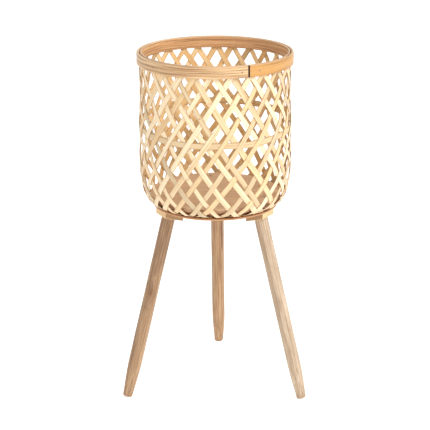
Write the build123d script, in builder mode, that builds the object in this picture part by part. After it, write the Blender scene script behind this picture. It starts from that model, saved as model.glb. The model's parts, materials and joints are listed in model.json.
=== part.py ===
from build123d import *
import os
from math import cos, degrees, radians, sin, tan

# A round planter basket woven from bamboo splints, held at the top between two bent hoops and at the
# bottom between a base board and a plate, and carried by three splayed legs that screw into wedge blocks.
# Millimetres, +Z up, origin on the floor under the centre of the basket. Azimuths are in degrees from +X.

# Overall size
TOTAL_HEIGHT = 570.0
RIM_RADIUS = 126.5

# Rim: two bent hoops that clamp the ends of the splints
HOOP_HEIGHT = 19.0
OUTER_HOOP_THICKNESS = 2.8
INNER_HOOP_THICKNESS = 2.2
HOOP_EDGE = 0.9
HOOP_JOINT_GAP = 1.8
OUTER_JOINT_AZIMUTH = -65.5
INNER_JOINT_AZIMUTH = -112.0

# Splints: one family leans right as it comes down, the other leans left
SPLINTS_EACH_WAY = 26
SPLINTS_PER_NODE = 2
SPLINT_WIDTH = 8.5
SPLINT_THICKNESS = 0.9
LAYER_GAP = 1.5
TOP_LEAN = 31.5
BOTTOM_LEAN = 37.5
LOFT_STATIONS = 24
SPLINT_TOP_SINK = 4.0
CROSSING_HEIGHT = 530.0
CROSSING_AZIMUTH = -84.6

# Waist band, threaded between the two families, a little higher at the back
WAIST_HEIGHT = 451.0
WAIST_WALL_RADIUS = 125.0
WAIST_WIDTH = 10.0
WAIST_THICKNESS = 0.7
WAIST_EASE = 0.15
WAIST_TILT = 3.7
WAIST_JOINT_AZIMUTH = 100.0
WAIST_JOINT_GAP = 1.0

# Base: the splint ends are sandwiched between the board and the plate
PLATE_RADIUS = 102.5
PLATE_BOTTOM = 315.0
PLATE_THICKNESS = 4.0
BOARD_RADIUS = 107.5
BOARD_TOP = 335.0
BOARD_THICKNESS = 11.6
BOARD_UNDER_ROUND = 8.5
EDGE_ROUND = 1.0
SPLINT_END_RADIUS = 96.0

# Legs: tapered round rods, splayed, each on a hanger bolt
LEG_AZIMUTHS = {"rear": 88.1, "left": 208.1, "right": 328.1}
LEG_TILT = 15.0
LEG_RADIUS = 11.0
LEG_LENGTH = 311.0
FOOT_RADIUS = 7.5
FOOT_ROUND = 2.0
FOOT_SPREAD = 167.6
TAPER_LENGTH = 64.0
LEG_TOP_CHAMFER = 0.6
SEAT_GAP = 0.3

# Wedge blocks under the plate
BLOCK_INNER = 69.4
BLOCK_OUTER = 100.8
BLOCK_WIDTH = 35.4
BLOCK_EDGE = 0.8

# M8 hanger bolts and their inserts
BOLT_RADIUS = 4.0
BOLT_ABOVE = 22.0
BOLT_BELOW = 35.0
BOLT_POINT = 8.0
RUNNING_CLEARANCE = 0.05
INSERT_LENGTH = 10.0
INSERT_RADIUS = 6.0
INSERT_FLANGE_RADIUS = 8.0
INSERT_FLANGE = 1.2
BOLT_WAY_RADIUS = 4.6

# Countersunk screws from the board into the blocks, and brads through the rim
SCREW_RADIUS = 2.0
SCREW_HEAD_RADIUS = 3.6
SCREW_SINK = 0.15
SCREW_TIP = 306.0
SCREW_POINT = 4.0
SCREW_ACROSS = 12.0
BRAD_RADIUS = 0.6
BRAD_HEAD_RADIUS = 1.3
BRAD_HEAD = 0.4
BRAD_GAPS = (1, 2, 6, 10, 14, 18, 22)

# Clearance between pieces that are fixed to each other
FIT = 0.03
LAY = 0.25

# Worked out from the driving dimensions
PITCH_ANGLE = 360.0 / SPLINTS_EACH_WAY
WALL_RIM_RADIUS = RIM_RADIUS - OUTER_HOOP_THICKNESS - LAY
WEAVE_THICKNESS = 2 * SPLINT_THICKNESS + LAYER_GAP
INNER_HOOP_OUTER = WALL_RIM_RADIUS - WEAVE_THICKNESS - LAY
RIM_MIDDLE = TOTAL_HEIGHT - HOOP_HEIGHT / 2
BRAD_START = INNER_HOOP_OUTER - INNER_HOOP_THICKNESS * 0.75
PLATE_TOP = PLATE_BOTTOM + PLATE_THICKNESS
BOARD_BOTTOM = BOARD_TOP - BOARD_THICKNESS
TUCK_HEIGHT = (PLATE_TOP + BOARD_BOTTOM - WEAVE_THICKNESS) / 2
FOOT_LIFT = (
    (FOOT_RADIUS - FOOT_ROUND) * sin(radians(LEG_TILT))
    + FOOT_ROUND * (1 - cos(radians(LEG_TILT)))
)
SEAT_RADIUS = FOOT_SPREAD - LEG_LENGTH * sin(radians(LEG_TILT))

# Outside of the woven wall as (radius, height): straight below the rim, a slight waist where the band
# draws it out, a belly, and a rounded turn in to the plate, where the splints run flat
WALL_POINTS = (
    (WALL_RIM_RADIUS, TOTAL_HEIGHT - SPLINT_TOP_SINK),
    (WALL_RIM_RADIUS, 545.0),
    (123.0, 495.0),
    (WAIST_WALL_RADIUS, WAIST_HEIGHT),
    (124.0, 428.0),
    (125.0, 400.0),
    (123.8, 366.0),
    (120.2, 345.0),
    (115.2, 330.5),
    (109.0, 323.0),
    (PLATE_RADIUS, TUCK_HEIGHT),
)

os.makedirs("parts", exist_ok=True)


def save(builder, name):
    """Labels one finished piece and writes it under its node name."""
    builder.part.label = name
    export_step(builder.part, f"parts/{name}.step")


def radial_plane(azimuth, radius, height):
    """Plane across a radius of the basket, facing outwards."""
    turn = radians(azimuth)
    outward = Vector(cos(turn), sin(turn), 0)
    origin = outward * radius + Vector(0, 0, height)
    return Plane(origin=origin, x_dir=(-sin(turn), cos(turn), 0), z_dir=outward)


def leg_plane(azimuth):
    """Plane across a leg at the centre of its foot, facing up the leg."""
    turn = radians(azimuth)
    tilt = radians(LEG_TILT)
    outward = Vector(cos(turn), sin(turn), 0)
    up = Vector(0, 0, 1)
    return Plane(
        origin=outward * FOOT_SPREAD + up * FOOT_LIFT,
        x_dir=outward * cos(tilt) + up * sin(tilt),
        z_dir=up * cos(tilt) - outward * sin(tilt),
    )


def turning_plane(across):
    """Plane for a turned profile: its x is the radius and its y runs along the axis of the given plane."""
    return Plane(origin=across.origin, x_dir=across.x_dir, z_dir=-across.y_dir)


def axis_of(across):
    """Axis along the normal of the given plane."""
    return Axis(across.origin, across.z_dir)


def brad_plane(gap_index):
    """Plane of one brad, in the middle of a gap between splints, at the axis of the basket."""
    return radial_plane(CROSSING_AZIMUTH + gap_index * PITCH_ANGLE, 0, RIM_MIDDLE)


def screw_points():
    """Places of the block screws: two for each leg, either side of its bolt."""
    return [
        Vector(SEAT_RADIUS, side * SCREW_ACROSS, 0).rotate(Axis.Z, azimuth)
        for azimuth in LEG_AZIMUTHS.values()
        for side in (-1, 1)
    ]


def hoop(plane, outer, thickness, height, joint_azimuth, joint_gap, edge=0.0, brad_gaps=()):
    """Bent hoop with its two ends butted at joint_azimuth, drilled for a brad at each brad gap."""
    with BuildPart() as ring:
        with BuildSketch(plane):
            Circle(outer)
            Circle(outer - thickness, mode=Mode.SUBTRACT)
            with PolarLocations(outer - thickness / 2, 1, start_angle=joint_azimuth):
                Rectangle(3 * thickness, joint_gap, mode=Mode.SUBTRACT)
        extrude(amount=height / 2, both=True)
        if edge:
            fillet(ring.edges().filter_by(GeomType.CIRCLE), radius=edge)
        for gap_index in brad_gaps:
            with BuildSketch(brad_plane(gap_index).offset(BRAD_START - FIT)):
                Circle(BRAD_RADIUS + FIT)
            extrude(amount=RIM_RADIUS, mode=Mode.SUBTRACT)
    return ring


def splint(hand, depth):
    """One splint: hand is +1 where azimuth grows on the way down; depth is how far its middle lies
    inside the outer face of the wall. Its row-one crossing is at azimuth 0."""
    with BuildLine(Plane.XZ) as meridian:
        bend = Spline(*WALL_POINTS, tangents=((0, -1), (-1, 0)))
        Line(bend @ 1, (SPLINT_END_RADIUS, TUCK_HEIGHT))
    wire = meridian.wire()
    steps = 240
    swept = 0.0
    swept_at = [0.0]
    crossing_sweep = 0.0
    for step in range(steps):
        here = wire @ ((step + 0.5) / steps)
        lean = TOP_LEAN + (BOTTOM_LEAN - TOP_LEAN) * (step + 0.5) / steps
        swept += degrees(tan(radians(lean)) * wire.length / steps / here.X)
        swept_at.append(swept)
        if here.Z > CROSSING_HEIGHT:
            crossing_sweep = swept
    with BuildPart() as strip:
        for station in range(LOFT_STATIONS):
            share = 1 - (1 - station / (LOFT_STATIONS - 1)) ** 1.5
            step = round(share * steps)
            share = step / steps
            lean = TOP_LEAN + (BOTTOM_LEAN - TOP_LEAN) * share
            azimuth = hand * (swept_at[step] - crossing_sweep)
            down = (wire % share).rotate(Axis.Z, azimuth)
            along_hoop = Vector(0, hand, 0).rotate(Axis.Z, azimuth)
            outward = along_hoop.cross(down) * -hand
            run = down * cos(radians(lean)) + along_hoop * sin(radians(lean))
            middle = (wire @ share).rotate(Axis.Z, azimuth) - outward * depth
            with BuildSketch(Plane(origin=middle, x_dir=outward.cross(run), z_dir=run)):
                Rectangle(SPLINT_WIDTH, SPLINT_THICKNESS)
        loft()
    return strip


# Rim hoops, drilled for the brads
outer_hoop = hoop(
    Plane.XY.offset(RIM_MIDDLE),
    RIM_RADIUS,
    OUTER_HOOP_THICKNESS,
    HOOP_HEIGHT,
    OUTER_JOINT_AZIMUTH,
    HOOP_JOINT_GAP,
    HOOP_EDGE,
    BRAD_GAPS,
)
save(outer_hoop, "rim_outer_hoop")
inner_hoop = hoop(
    Plane.XY.offset(RIM_MIDDLE),
    INNER_HOOP_OUTER,
    INNER_HOOP_THICKNESS,
    HOOP_HEIGHT,
    INNER_JOINT_AZIMUTH,
    HOOP_JOINT_GAP / 2,
    HOOP_EDGE,
    BRAD_GAPS,
)
save(inner_hoop, "rim_inner_hoop")

# Brads that pin the rim together
with BuildPart() as rim_brads:
    for gap_index in BRAD_GAPS:
        with BuildSketch(brad_plane(gap_index).offset(BRAD_START)):
            Circle(BRAD_RADIUS)
        extrude(amount=RIM_RADIUS + FIT - BRAD_START)
        with BuildSketch(brad_plane(gap_index).offset(RIM_RADIUS + FIT)):
            Circle(BRAD_HEAD_RADIUS)
        extrude(amount=BRAD_HEAD)
save(rim_brads, "rim_brads")

# Splints of the wall: the outer family leans left on the way down, the inner family leans right
families = {
    "right": splint(1, WEAVE_THICKNESS - SPLINT_THICKNESS / 2),
    "left": splint(-1, SPLINT_THICKNESS / 2),
}
for family, pattern in families.items():
    for first in range(0, SPLINTS_EACH_WAY, SPLINTS_PER_NODE):
        with BuildPart() as splints:
            for number in range(first, first + SPLINTS_PER_NODE):
                turn = CROSSING_AZIMUTH + number * PITCH_ANGLE
                with Locations(Location((0, 0, 0), (0, 0, turn))):
                    add(pattern.part)
        save(splints, f"{family}_splints_{first // SPLINTS_PER_NODE + 1:02d}")

# Waist band between the two families
waist_plane = Plane(
    origin=(0, 0, WAIST_HEIGHT),
    x_dir=(1, 0, 0),
    z_dir=(0, -sin(radians(WAIST_TILT)), cos(radians(WAIST_TILT))),
)
waist_middle_radius = WAIST_WALL_RADIUS - WEAVE_THICKNESS / 2 + WAIST_EASE
waist_band = hoop(
    waist_plane,
    waist_middle_radius + WAIST_THICKNESS / 2,
    WAIST_THICKNESS,
    WAIST_WIDTH,
    WAIST_JOINT_AZIMUTH,
    WAIST_JOINT_GAP,
)
save(waist_band, "waist_band")

# Base board: a turned disc whose under edge is rounded for the splints, with countersunk holes
with BuildPart() as base_board:
    with BuildSketch(Plane.XY.offset(BOARD_BOTTOM)):
        Circle(BOARD_RADIUS)
    extrude(amount=BOARD_THICKNESS)
    fillet(base_board.edges().sort_by(Axis.Z)[0], radius=BOARD_UNDER_ROUND)
    fillet(base_board.edges().sort_by(Axis.Z)[-1], radius=EDGE_ROUND)
    for point in screw_points():
        with Locations(Plane(origin=(point.X, point.Y, BOARD_TOP))):
            CounterSinkHole(
                radius=SCREW_RADIUS + RUNNING_CLEARANCE,
                counter_sink_radius=SCREW_HEAD_RADIUS + SCREW_SINK + 0.1,
                counter_sink_angle=90,
                depth=2 * BOARD_THICKNESS,
            )
    for azimuth in LEG_AZIMUTHS.values():
        with BuildSketch(leg_plane(azimuth).offset(LEG_LENGTH)):
            Circle(BOLT_WAY_RADIUS)
        extrude(amount=BOLT_ABOVE + BOLT_RADIUS, mode=Mode.SUBTRACT)
save(base_board, "base_board")

# Bottom plate that clamps the splint ends up against the board
with BuildPart() as bottom_plate:
    with BuildSketch(Plane.XY.offset(PLATE_BOTTOM)):
        Circle(PLATE_RADIUS)
    extrude(amount=PLATE_THICKNESS)
    fillet(bottom_plate.edges().filter_by(GeomType.CIRCLE), radius=EDGE_ROUND)
    for point in screw_points():
        with BuildSketch(Plane(origin=(point.X, point.Y, PLATE_BOTTOM))):
            Circle(SCREW_RADIUS + RUNNING_CLEARANCE)
        extrude(amount=PLATE_THICKNESS, mode=Mode.SUBTRACT)
    for azimuth in LEG_AZIMUTHS.values():
        with BuildSketch(leg_plane(azimuth).offset(LEG_LENGTH)):
            Circle(BOLT_WAY_RADIUS)
        extrude(amount=BOLT_ABOVE + BOLT_RADIUS, mode=Mode.SUBTRACT)
save(bottom_plate, "bottom_plate")

# Countersunk screws, all alike, head just under the board's face
screw_profile = (
    (0, BOARD_TOP - SCREW_SINK),
    (SCREW_HEAD_RADIUS, BOARD_TOP - SCREW_SINK),
    (SCREW_RADIUS, BOARD_TOP - SCREW_SINK - (SCREW_HEAD_RADIUS - SCREW_RADIUS)),
    (SCREW_RADIUS, SCREW_TIP + SCREW_POINT),
    (0, SCREW_TIP),
)
with BuildPart() as block_screws:
    for point in screw_points():
        standing = Plane(origin=(point.X, point.Y, 0))
        with BuildSketch(turning_plane(standing)):
            with BuildLine():
                Polyline(*screw_profile, close=True)
            make_face()
        revolve(axis=axis_of(standing))
save(block_screws, "block_screws")

# One leg unit for each azimuth: wedge block, insert, hanger bolt and leg
leg_profile_end = (
    (LEG_RADIUS, LEG_LENGTH - LEG_TOP_CHAMFER),
    (LEG_RADIUS - LEG_TOP_CHAMFER, LEG_LENGTH),
    (0, LEG_LENGTH),
    (0, 0),
    (FOOT_RADIUS, 0),
)
bolt_profile = (
    (0, -BOLT_BELOW),
    (BOLT_RADIUS / 4, -BOLT_BELOW),
    (BOLT_RADIUS, BOLT_POINT - BOLT_BELOW),
    (BOLT_RADIUS, -SEAT_GAP * 4),
    (BOLT_RADIUS - 0.5, -SEAT_GAP * 4),
    (BOLT_RADIUS - 0.5, SEAT_GAP * 4),
    (BOLT_RADIUS, SEAT_GAP * 4),
    (BOLT_RADIUS, BOLT_ABOVE - 1),
    (BOLT_RADIUS - 0.8, BOLT_ABOVE),
    (0, BOLT_ABOVE),
)
for side, azimuth in LEG_AZIMUTHS.items():
    foot = leg_plane(azimuth)
    leg_top = foot.offset(LEG_LENGTH)
    seat = foot.offset(LEG_LENGTH + SEAT_GAP)

    # Wedge block: vertical sides, lower face square to the leg, drilled for the insert and the screws
    with BuildPart() as block:
        block_base = Plane.XY.rotated((0, 0, azimuth)).offset(PLATE_BOTTOM)
        with BuildSketch(block_base):
            with Locations(((BLOCK_INNER + BLOCK_OUTER) / 2, 0)):
                Rectangle(BLOCK_OUTER - BLOCK_INNER, BLOCK_WIDTH)
        extrude(amount=-2 * (BLOCK_OUTER - BLOCK_INNER))
        split(bisect_by=seat, keep=Keep.TOP)
        chamfer(block.faces().sort_by(Axis.Z)[0].edges(), length=BLOCK_EDGE)
        with BuildSketch(seat):
            Circle(INSERT_FLANGE_RADIUS + FIT)
        extrude(amount=INSERT_FLANGE + FIT, mode=Mode.SUBTRACT)
        with BuildSketch(seat):
            Circle(INSERT_RADIUS + FIT)
        extrude(amount=INSERT_LENGTH + FIT, mode=Mode.SUBTRACT)
        with BuildSketch(seat):
            Circle(BOLT_WAY_RADIUS)
        extrude(amount=BOLT_ABOVE, mode=Mode.SUBTRACT)
        for point in screw_points():
            with BuildSketch(Plane(origin=(point.X, point.Y, SCREW_TIP - SCREW_SINK))):
                Circle(SCREW_RADIUS + RUNNING_CLEARANCE)
            extrude(amount=PLATE_BOTTOM - SCREW_TIP + SCREW_SINK, mode=Mode.SUBTRACT)
    save(block, f"leg_block_{side}")

    # Flanged insert, flush with the lower face of the block
    with BuildPart() as insert:
        with BuildSketch(seat):
            Circle(INSERT_FLANGE_RADIUS)
        extrude(amount=INSERT_FLANGE)
        with BuildSketch(seat):
            Circle(INSERT_RADIUS)
        extrude(amount=INSERT_LENGTH)
        with BuildSketch(seat):
            Circle(BOLT_RADIUS + RUNNING_CLEARANCE)
        extrude(amount=INSERT_LENGTH, mode=Mode.SUBTRACT)
    save(insert, f"threaded_insert_{side}")

    # Hanger bolt: wood end in the leg, machine end up through the insert
    with BuildPart() as bolt:
        with BuildSketch(turning_plane(leg_top)):
            with BuildLine():
                Polyline(*bolt_profile, close=True)
            make_face()
        revolve(axis=axis_of(leg_top))
    save(bolt, f"hanger_bolt_{side}")

    # Leg: straight rod, tapered over its last part, with a rounded foot
    with BuildPart() as leg:
        with BuildSketch(turning_plane(foot)):
            with BuildLine():
                Spline(
                    (FOOT_RADIUS, 0),
                    (LEG_RADIUS, TAPER_LENGTH),
                    tangents=((0.09, 1), (0, 1)),
                )
                Line((LEG_RADIUS, TAPER_LENGTH), leg_profile_end[0])
                Polyline(*leg_profile_end)
            make_face()
        revolve(axis=axis_of(foot))
        fillet(leg.edges().filter_by(GeomType.CIRCLE).sort_by(Axis.Z)[0], radius=FOOT_ROUND)
        with BuildSketch(leg_top):
            Circle(BOLT_RADIUS + RUNNING_CLEARANCE)
        extrude(amount=-BOLT_BELOW - SEAT_GAP, mode=Mode.SUBTRACT)
    save(leg, f"leg_{side}")
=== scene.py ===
import json
from math import cos, pi, radians, sin, sqrt

import bmesh
import bpy
from mathutils import Matrix, Vector, noise

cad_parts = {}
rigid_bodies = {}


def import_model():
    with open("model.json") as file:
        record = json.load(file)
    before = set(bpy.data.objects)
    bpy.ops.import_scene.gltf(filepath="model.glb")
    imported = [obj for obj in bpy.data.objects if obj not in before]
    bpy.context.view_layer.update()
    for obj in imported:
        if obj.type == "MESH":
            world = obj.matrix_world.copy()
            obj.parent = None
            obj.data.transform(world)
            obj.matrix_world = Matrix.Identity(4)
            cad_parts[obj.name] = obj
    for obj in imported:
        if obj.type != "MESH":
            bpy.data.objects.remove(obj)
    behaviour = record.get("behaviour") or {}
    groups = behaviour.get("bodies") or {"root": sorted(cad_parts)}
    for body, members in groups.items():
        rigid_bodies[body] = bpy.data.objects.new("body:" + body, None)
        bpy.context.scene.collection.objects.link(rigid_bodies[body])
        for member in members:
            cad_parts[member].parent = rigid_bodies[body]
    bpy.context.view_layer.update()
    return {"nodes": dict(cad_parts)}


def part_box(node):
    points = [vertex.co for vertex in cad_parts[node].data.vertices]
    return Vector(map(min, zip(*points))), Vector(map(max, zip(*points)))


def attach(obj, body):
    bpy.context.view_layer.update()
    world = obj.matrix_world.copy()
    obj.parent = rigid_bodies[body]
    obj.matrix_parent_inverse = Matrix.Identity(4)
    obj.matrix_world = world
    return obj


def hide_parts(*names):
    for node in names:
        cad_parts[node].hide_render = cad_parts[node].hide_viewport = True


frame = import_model()
scene = bpy.context.scene

# ---------------------------------------------------------------------------------------------------
# Camera and studio. A long lens a little above the rim, a plain pale sweep of floor, a large soft key
# light from the front right, a weaker fill from the left and an even pale sky.
# ---------------------------------------------------------------------------------------------------
VIEW_DISTANCE = 2.476
VIEW_HEIGHT = 1.0823
VIEW_DOWN = radians(17.694)
VIEW_ROLL = radians(-0.165)
LENS = 130.9

lens = bpy.data.cameras.new("studio_camera")
lens.lens = LENS
lens.sensor_width = 36.0
lens.clip_end = 50.0
camera = bpy.data.objects.new("studio_camera", lens)
scene.collection.objects.link(camera)
camera.matrix_world = (
    Matrix.Translation((-0.0008, -VIEW_DISTANCE, VIEW_HEIGHT))
    @ Matrix.Rotation(pi / 2 - VIEW_DOWN, 4, "X")
    @ Matrix.Rotation(VIEW_ROLL, 4, "Z")
)
scene.camera = camera
scene.view_settings.view_transform = "Standard"

sky = bpy.data.worlds.new("studio_sky")
sky.use_nodes = True
sky.node_tree.nodes["Background"].inputs["Color"].default_value = (1.0, 1.0, 1.0, 1.0)
sky.node_tree.nodes["Background"].inputs["Strength"].default_value = 0.72
scene.world = sky


def soft_light(name, place, size, power, colour):
    """A square soft box at place that faces the middle of the basket."""
    lamp = bpy.data.lights.new(name, "AREA")
    lamp.size = size
    lamp.energy = power
    lamp.color = colour
    holder = bpy.data.objects.new(name, lamp)
    aim = Vector((0, 0, 0.38)) - Vector(place)
    holder.matrix_world = Matrix.Translation(place) @ aim.to_track_quat("-Z", "Y").to_matrix().to_4x4()
    scene.collection.objects.link(holder)


soft_light("key_light", (1.7, -1.35, 2.5), 1.2, 68.0, (1.0, 0.98, 0.95))
soft_light("fill_light", (-0.6, -2.3, 2.3), 1.8, 13.0, (1.0, 0.99, 0.98))

bpy.ops.mesh.primitive_plane_add(size=70.0, location=(0, 0, 0))
floor = bpy.context.object
floor.name = "studio_floor"
pale = bpy.data.materials.new("studio_floor_pale")
pale.use_nodes = True
pale_shader = pale.node_tree.nodes["Principled BSDF"]
pale_shader.inputs["Base Color"].default_value = (0.85, 0.85, 0.85, 1)
pale_shader.inputs["Roughness"].default_value = 0.9
pale_shader.inputs["Emission Color"].default_value = (1, 1, 1, 1)
pale_shader.inputs["Emission Strength"].default_value = 0.5
floor.data.materials.append(pale)

# ---------------------------------------------------------------------------------------------------
# Splints of the wall. Split bamboo, 8.5 mm by 0.9 mm, in two families that lean opposite ways and pass
# over and under each other at every crossing. Their tops are clamped between the rim hoops and their
# ends are bent in under the base board. Laid by hand, so no two stand quite alike.
# ---------------------------------------------------------------------------------------------------
MM = 0.001
SPLINT_WIDTH = 8.5 * MM
SPLINT_THICKNESS = 0.9 * MM
SPLINTS_EACH_WAY = 26
SPLINTS_PER_NODE = 2
SPLINT_PITCH = 2 * pi / SPLINTS_EACH_WAY
WEAVE_DEPTH = 1.65 * MM
WEAVE_SWING = 0.56 * MM
TOP_LEAN = radians(31.5)
BOTTOM_LEAN = radians(37.5)
CROSSING_HEIGHT = 530.0 * MM
CROSSING_AZIMUTH = radians(-84.6)
ROW_RUN = 184.0 * MM
ROW_PITCH = 22.8 * MM
WAIST_HEIGHT = 451.0 * MM
WAIST_RISE = 8.0 * MM
WAIST_THICKNESS = 0.7 * MM
BAND_CLEARANCE = 0.06 * MM
BAND_HALF_ROOM = 5.8 * MM
BAND_EASING = 3.7 * MM
BEND_SHARPNESS = 2.6
PLACE_STRAY = 0.042
SLOPE_STRAY = 0.10
BOW_STRAY = 0.018
NARROWEST = 0.88
WIDEST = 1.10
CORNER_ROUNDING = 0.25 * MM
SPLINT_STEPS = 150
FAMILY_SEED = {"right": 11, "left": 47}

# Outside of the wall from the rim down to the splint ends, as (radius, height)
WALL_OUTLINE = (
    (123.45, 567.2),
    (123.45, 545.0),
    (123.0, 495.0),
    (125.0, 451.0),
    (124.0, 428.0),
    (125.0, 400.0),
    (123.8, 366.0),
    (120.2, 345.0),
    (115.2, 330.5),
    (109.0, 323.0),
    (102.5, 319.55),
    (96.0, 319.55),
)


def tone(red, green, blue):
    """A display colour, 0 to 255, as the linear colour that nodes use."""
    parts = [value / 255 for value in (red, green, blue)]
    return tuple(v / 12.92 if v <= 0.04045 else ((v + 0.055) / 1.055) ** 2.4 for v in parts) + (1.0,)


class Graph:
    """Short calls for the nodes of one node tree."""

    def __init__(self, tree):
        self.tree = tree

    def node(self, kind, settings=None, **links):
        """Adds a node; links name its sockets, with underscores for spaces."""
        made = self.tree.nodes.new(kind)
        for key, value in (settings or {}).items():
            setattr(made, key, value)
        for key, value in links.items():
            self.put(made, key, value)
        return made

    def put(self, made, key, value):
        """Sets or links one input socket, found by name or by index."""
        if isinstance(key, int):
            socket = made.inputs[key]
        else:
            socket = next(s for s in made.inputs if s.name == key.replace("_", " ") and s.enabled)
        if isinstance(value, bpy.types.NodeSocket):
            self.tree.links.new(value, socket)
        else:
            socket.default_value = value

    def math(self, operation, *values):
        """One Math node on one, two or three values."""
        made = self.tree.nodes.new("ShaderNodeMath")
        made.operation = operation
        for index, value in enumerate(values):
            self.put(made, index, value)
        return made.outputs[0]

    def add(self, *values):
        """Sum of two or more values."""
        total = values[0]
        for value in values[1:]:
            total = self.math("ADD", total, value)
        return total

    def sub(self, first, second):
        """First value less the second."""
        return self.math("SUBTRACT", first, second)

    def mul(self, *values):
        """Product of two or more values."""
        total = values[0]
        for value in values[1:]:
            total = self.math("MULTIPLY", total, value)
        return total

    def between(self, value, low, high):
        """Rises smoothly from 0 at low to 1 at high."""
        made = self.node("ShaderNodeMapRange", {"interpolation_type": "SMOOTHSTEP"}, Value=value)
        made.inputs["From Min"].default_value = low
        made.inputs["From Max"].default_value = high
        return made.outputs[0]

    def vector(self, x, y, z):
        """One vector from three values."""
        return self.node("ShaderNodeCombineXYZ", X=x, Y=y, Z=z).outputs[0]

    def parts(self, vector):
        """The three values of a vector."""
        made = self.node("ShaderNodeSeparateXYZ", Vector=vector)
        return made.outputs[0], made.outputs[1], made.outputs[2]

    def noise(self, vector, scale=1.0, detail=2.0):
        """Soft noise, mostly from 0.3 to 0.7."""
        settings = {"noise_dimensions": "3D"}
        return self.node("ShaderNodeTexNoise", settings, Vector=vector, Scale=scale, Detail=detail).outputs[0]


class Tree(Graph):
    """A Geometry Nodes group with named inputs."""

    def __init__(self, name, inputs):
        super().__init__(bpy.data.node_groups.new(name, "GeometryNodeTree"))
        face = self.tree.interface
        face.new_socket("Geometry", in_out="INPUT", socket_type="NodeSocketGeometry")
        self.ids = {}
        for label, kind in inputs.items():
            item = face.new_socket(label, in_out="INPUT", socket_type="NodeSocket" + kind)
            self.ids[label] = item.identifier
        face.new_socket("Geometry", in_out="OUTPUT", socket_type="NodeSocketGeometry")
        self.inputs = self.tree.nodes.new("NodeGroupInput").outputs
        self.output = self.tree.nodes.new("NodeGroupOutput").inputs[0]

    def __getitem__(self, label):
        """The group's own input of that name."""
        return self.inputs[label]

    def chance(self, low, high, member, seed):
        """A random value that each member keeps for a given seed."""
        made = self.node("FunctionNodeRandomValue", {"data_type": "FLOAT"}, ID=member, Seed=seed)
        made.inputs[2].default_value = low
        made.inputs[3].default_value = high
        return made.outputs[1]

    def named(self, name, kind="FLOAT"):
        """Reads a stored attribute."""
        return self.node("GeometryNodeInputNamedAttribute", {"data_type": kind}, Name=name).outputs[0]

    def store(self, geometry, name, value, kind="FLOAT_VECTOR"):
        """Stores a value on every point."""
        settings = {"data_type": kind, "domain": "POINT"}
        made = self.node("GeometryNodeStoreNamedAttribute", settings, Geometry=geometry, Name=name)
        self.put(made, "Value", value)
        return made.outputs[0]

    def strip(self, curves, facing, width, thickness, rounding, scale=1.0):
        """A flat strip along curves, its outer face towards facing, with its grain coordinates:
        across the width, through the thickness, and along."""
        curves = self.node("GeometryNodeSetCurveNormal", {"mode": "FREE"}, Curve=curves)
        self.put(curves, "Normal", facing)
        section = self.node("GeometryNodeCurvePrimitiveQuadrilateral", Width=thickness, Height=width)
        section = self.node("GeometryNodeFilletCurve", {"mode": "POLY"}, Curve=section.outputs[0])
        self.put(section, "Radius", rounding)
        self.put(section, "Count", 3)
        section = self.store(section.outputs[0], "across", self.node("GeometryNodeInputPosition").outputs[0])
        curve = curves.outputs[0]
        strip = self.node("GeometryNodeCurveToMesh", Curve=curve, Profile_Curve=section, Scale=scale)
        self.put(strip, "Fill Caps", True)
        through, side, _ = self.parts(self.named("across", "FLOAT_VECTOR"))
        grain = self.vector(side, through, self.named("along"))
        return self.store(strip.outputs[0], "grain", grain)

    def finish(self, geometry):
        """Realize Instances and Set Material close every tree."""
        real = self.node("GeometryNodeRealizeInstances", Geometry=geometry)
        painted = self.node("GeometryNodeSetMaterial", Geometry=real.outputs[0], Material=self["Material"])
        self.tree.links.new(painted.outputs[0], self.output)


def grow(name, base, tree, values, sharp=radians(40)):
    """Runs a tree on a base object and returns its result as a plain mesh object at the origin."""
    source = bpy.data.objects.new(name + "_source", base)
    scene.collection.objects.link(source)
    modifier = source.modifiers.new("grow", "NODES")
    modifier.node_group = tree.tree
    for label, value in values.items():
        modifier[tree.ids[label]] = value
    source.update_tag()
    bpy.context.view_layer.update()
    evaluated = source.evaluated_get(bpy.context.evaluated_depsgraph_get())
    mesh = bpy.data.meshes.new_from_object(evaluated)
    mesh.name = name
    source.modifiers.remove(modifier)
    bpy.data.objects.remove(source)
    mesh.shade_smooth()
    mesh.set_sharp_from_angle(angle=sharp)
    made = bpy.data.objects.new(name, mesh)
    scene.collection.objects.link(made)
    return made


def settle(piece, slot, body, *nodes):
    """Gives a finished piece its body and hides the CAD nodes it stands for. The slot is not used."""
    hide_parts(*nodes)
    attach(piece, body)


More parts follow.
